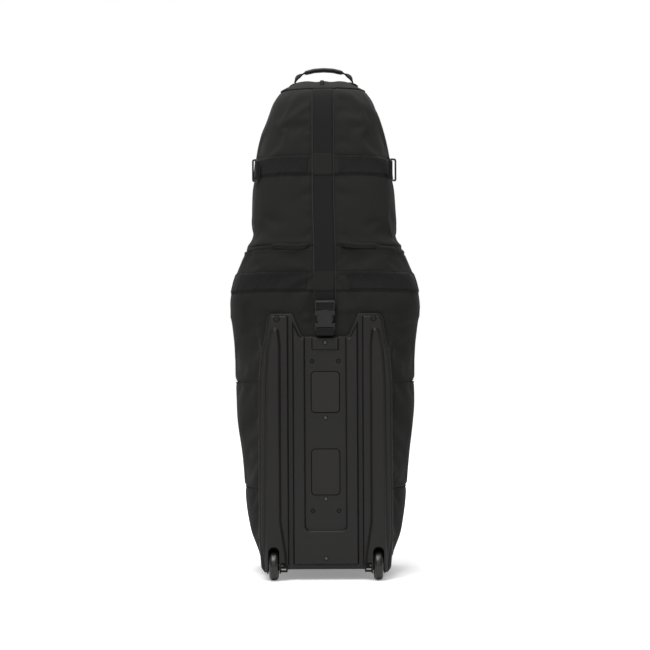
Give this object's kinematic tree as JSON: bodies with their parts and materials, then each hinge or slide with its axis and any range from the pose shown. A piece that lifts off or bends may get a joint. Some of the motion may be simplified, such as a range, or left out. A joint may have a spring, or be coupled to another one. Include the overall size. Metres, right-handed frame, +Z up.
{
  "type": "golf travel case",
  "caption": "Tall soft-sided rolling golf travel case with a moulded kick plate, inline wheels, centre strap with side-release buckle, zipped front flaps and a padded hood.",
  "frame": {"origin": "On the floor under the middle of the case's box, half way between the wheels' rear and the pocket's front.", "axes": "+Z is up the standing case, +Y points out of the zipped front, -Y out of the kick plate, +X to the right seen from behind."},
  "size_m": [0.508, 0.39, 1.3536],
  "materials": {
    "cloth": "black ballistic nylon, plain coarse weave, padded",
    "webbing": "black woven nylon webbing",
    "zip_chain": "black zipper tape with moulded teeth",
    "moulding": "charcoal moulded polyethylene, fine grain",
    "skid_pad": "charcoal textured plastic pad",
    "buckle_plastic": "black acetal, satin",
    "grip_rubber": "black padded grip",
    "tyre": "grey polyurethane, satin",
    "hub_plastic": "black nylon hub",
    "steel": "zinc-plated steel",
    "dark_screw": "dark plated steel",
    "ring_metal": "black coated steel wire",
    "zip_metal": "black lacquered zinc",
    "board": "polyethylene stiffener",
    "foam": "closed-cell foam"
  },
  "bodies": {
    "root": {"back_panel": "cloth", "hood_back_panel": "cloth", "side_panel_right": "cloth", "side_panel_left": "cloth", "hood_side_right": "cloth", "hood_side_left": "cloth", "front_panel_lower": "cloth", "front_strip_right": "cloth", "front_strip_left": "cloth", "hood_front_panel": "cloth", "crown_panel": "cloth", "base_tray": "moulding", "front_feet": "moulding", "zipper_upper_chain": "zip_chain", "pocket_walls": "cloth", "pocket_chain": "zip_chain", "horn_screws": "dark_screw", "centre_screws": "dark_screw", "hex_screws": "dark_screw", "side_rivets": "dark_screw", "skid_pad_upper": "skid_pad", "skid_pad_lower": "skid_pad", "kick_plate": "moulding", "axle_left": "steel", "axle_right": "steel", "axle_nuts": "steel", "band_upper": "webbing", "band_lower": "webbing", "centre_strap": "webbing", "ring_tabs": "webbing", "handle_anchors": "webbing", "buckle_female": "buckle_plastic", "buckle_webbing": "webbing", "stiffener_board": "board", "base_pad": "foam", "hood_foam": "foam", "cinch_straps": "webbing"},
    "wheel_left": {"wheel_left_tyre": "tyre", "wheel_left_hub": "hub_plastic", "wheel_left_bearings": "steel"},
    "wheel_right": {"wheel_right_tyre": "tyre", "wheel_right_hub": "hub_plastic", "wheel_right_bearings": "steel"},
    "top_handle": {"handle_webbing": "webbing", "handle_grip": "grip_rubber"},
    "side_ring_left": {"ring_left": "ring_metal"},
    "side_ring_right": {"ring_right": "ring_metal"},
    "front_flap_left": {"flap_left": "cloth", "zipper_chain_left": "zip_chain"},
    "front_flap_right": {"flap_right": "cloth", "zipper_chain_right": "zip_chain"},
    "main_slider": {"zipper_slider": "zip_metal"},
    "main_pull": {"zipper_pull": "zip_metal"},
    "pocket_lid": {"pocket_flap": "cloth"},
    "pocket_zip_slider": {"pocket_slider": "zip_metal"},
    "pocket_zip_pull": {"pocket_pull": "zip_metal"},
    "buckle_plug": {"buckle_male": "buckle_plastic", "buckle_strap_loop": "webbing"},
    "prong_left": {"buckle_prong_left": "buckle_plastic"},
    "prong_right": {"buckle_prong_right": "buckle_plastic"}
  },
  "joints": [
    {"name": "wheel_left_spin", "type": "hinge", "parent": "root", "child": "wheel_left", "pos_m": [-0.1357, -0.157, 0.038], "axis": [1, 0, 0], "continuous": true},
    {"name": "wheel_right_spin", "type": "hinge", "parent": "root", "child": "wheel_right", "pos_m": [0.1357, -0.157, 0.038], "axis": [1, 0, 0], "continuous": true},
    {"name": "handle_fold", "type": "hinge", "parent": "root", "child": "top_handle", "pos_m": [0, 0, 1.3165], "axis": [1, 0, 0], "range_deg": [-50, 50]},
    {"name": "ring_left_swing", "type": "hinge", "parent": "root", "child": "side_ring_left", "pos_m": [-0.1746, -0.1277, 1.069], "axis": [0, 0, 1], "range_deg": [0, 103]},
    {"name": "ring_right_swing", "type": "hinge", "parent": "root", "child": "side_ring_right", "pos_m": [0.1746, -0.1277, 1.069], "axis": [0, 0, 1], "range_deg": [-103, 0]},
    {"name": "flap_left_open", "type": "hinge", "parent": "root", "child": "front_flap_left", "pos_m": [-0.118, 0.15, 0.35], "axis": [0, -0.0523, 0.9986], "range_deg": [0, 120]},
    {"name": "flap_right_open", "type": "hinge", "parent": "root", "child": "front_flap_right", "pos_m": [0.118, 0.15, 0.35], "axis": [0, 0.0523, -0.9986], "range_deg": [0, 120]},
    {"name": "main_zip_run", "type": "slide", "parent": "root", "child": "main_slider", "axis": [0, 0.0523, -0.9986], "range_m": [0, 0.845]},
    {"name": "main_pull_swing", "type": "hinge", "parent": "main_slider", "child": "main_pull", "pos_m": [0, 0.11186, 1.2192], "axis": [1, 0, 0], "range_deg": [0, 170]},
    {"name": "pocket_lid_open", "type": "hinge", "parent": "root", "child": "pocket_lid", "pos_m": [0, 0.19171, 0.09684], "axis": [-1, 0, 0], "range_deg": [0, 95]},
    {"name": "pocket_zip_run", "type": "slide", "parent": "root", "child": "pocket_zip_slider", "axis": [1, 0, 0], "range_m": [0, 0.16]},
    {"name": "pocket_pull_swing", "type": "hinge", "parent": "pocket_zip_slider", "child": "pocket_zip_pull", "pos_m": [-0.08, 0.17089, 0.33347], "axis": [0, -0.9986, -0.0523], "range_deg": [0, 170]},
    {"name": "buckle_release", "type": "slide", "parent": "root", "child": "buckle_plug", "axis": [0, 0, 1], "range_m": [0, 0.045], "deforming": ["buckle_prong_left", "buckle_prong_right"]},
    {"name": "prong_left_pinch", "type": "hinge", "parent": "buckle_plug", "child": "prong_left", "pos_m": [-0.015, -0.1695, 0.7055], "axis": [0, -1, 0], "range_deg": [0, 9], "stiffness_Nm_per_rad": 0.3},
    {"name": "prong_right_pinch", "type": "hinge", "parent": "buckle_plug", "child": "prong_right", "pos_m": [0.015, -0.1695, 0.7055], "axis": [0, 1, 0], "range_deg": [0, 9], "stiffness_Nm_per_rad": 0.3}
  ]
}
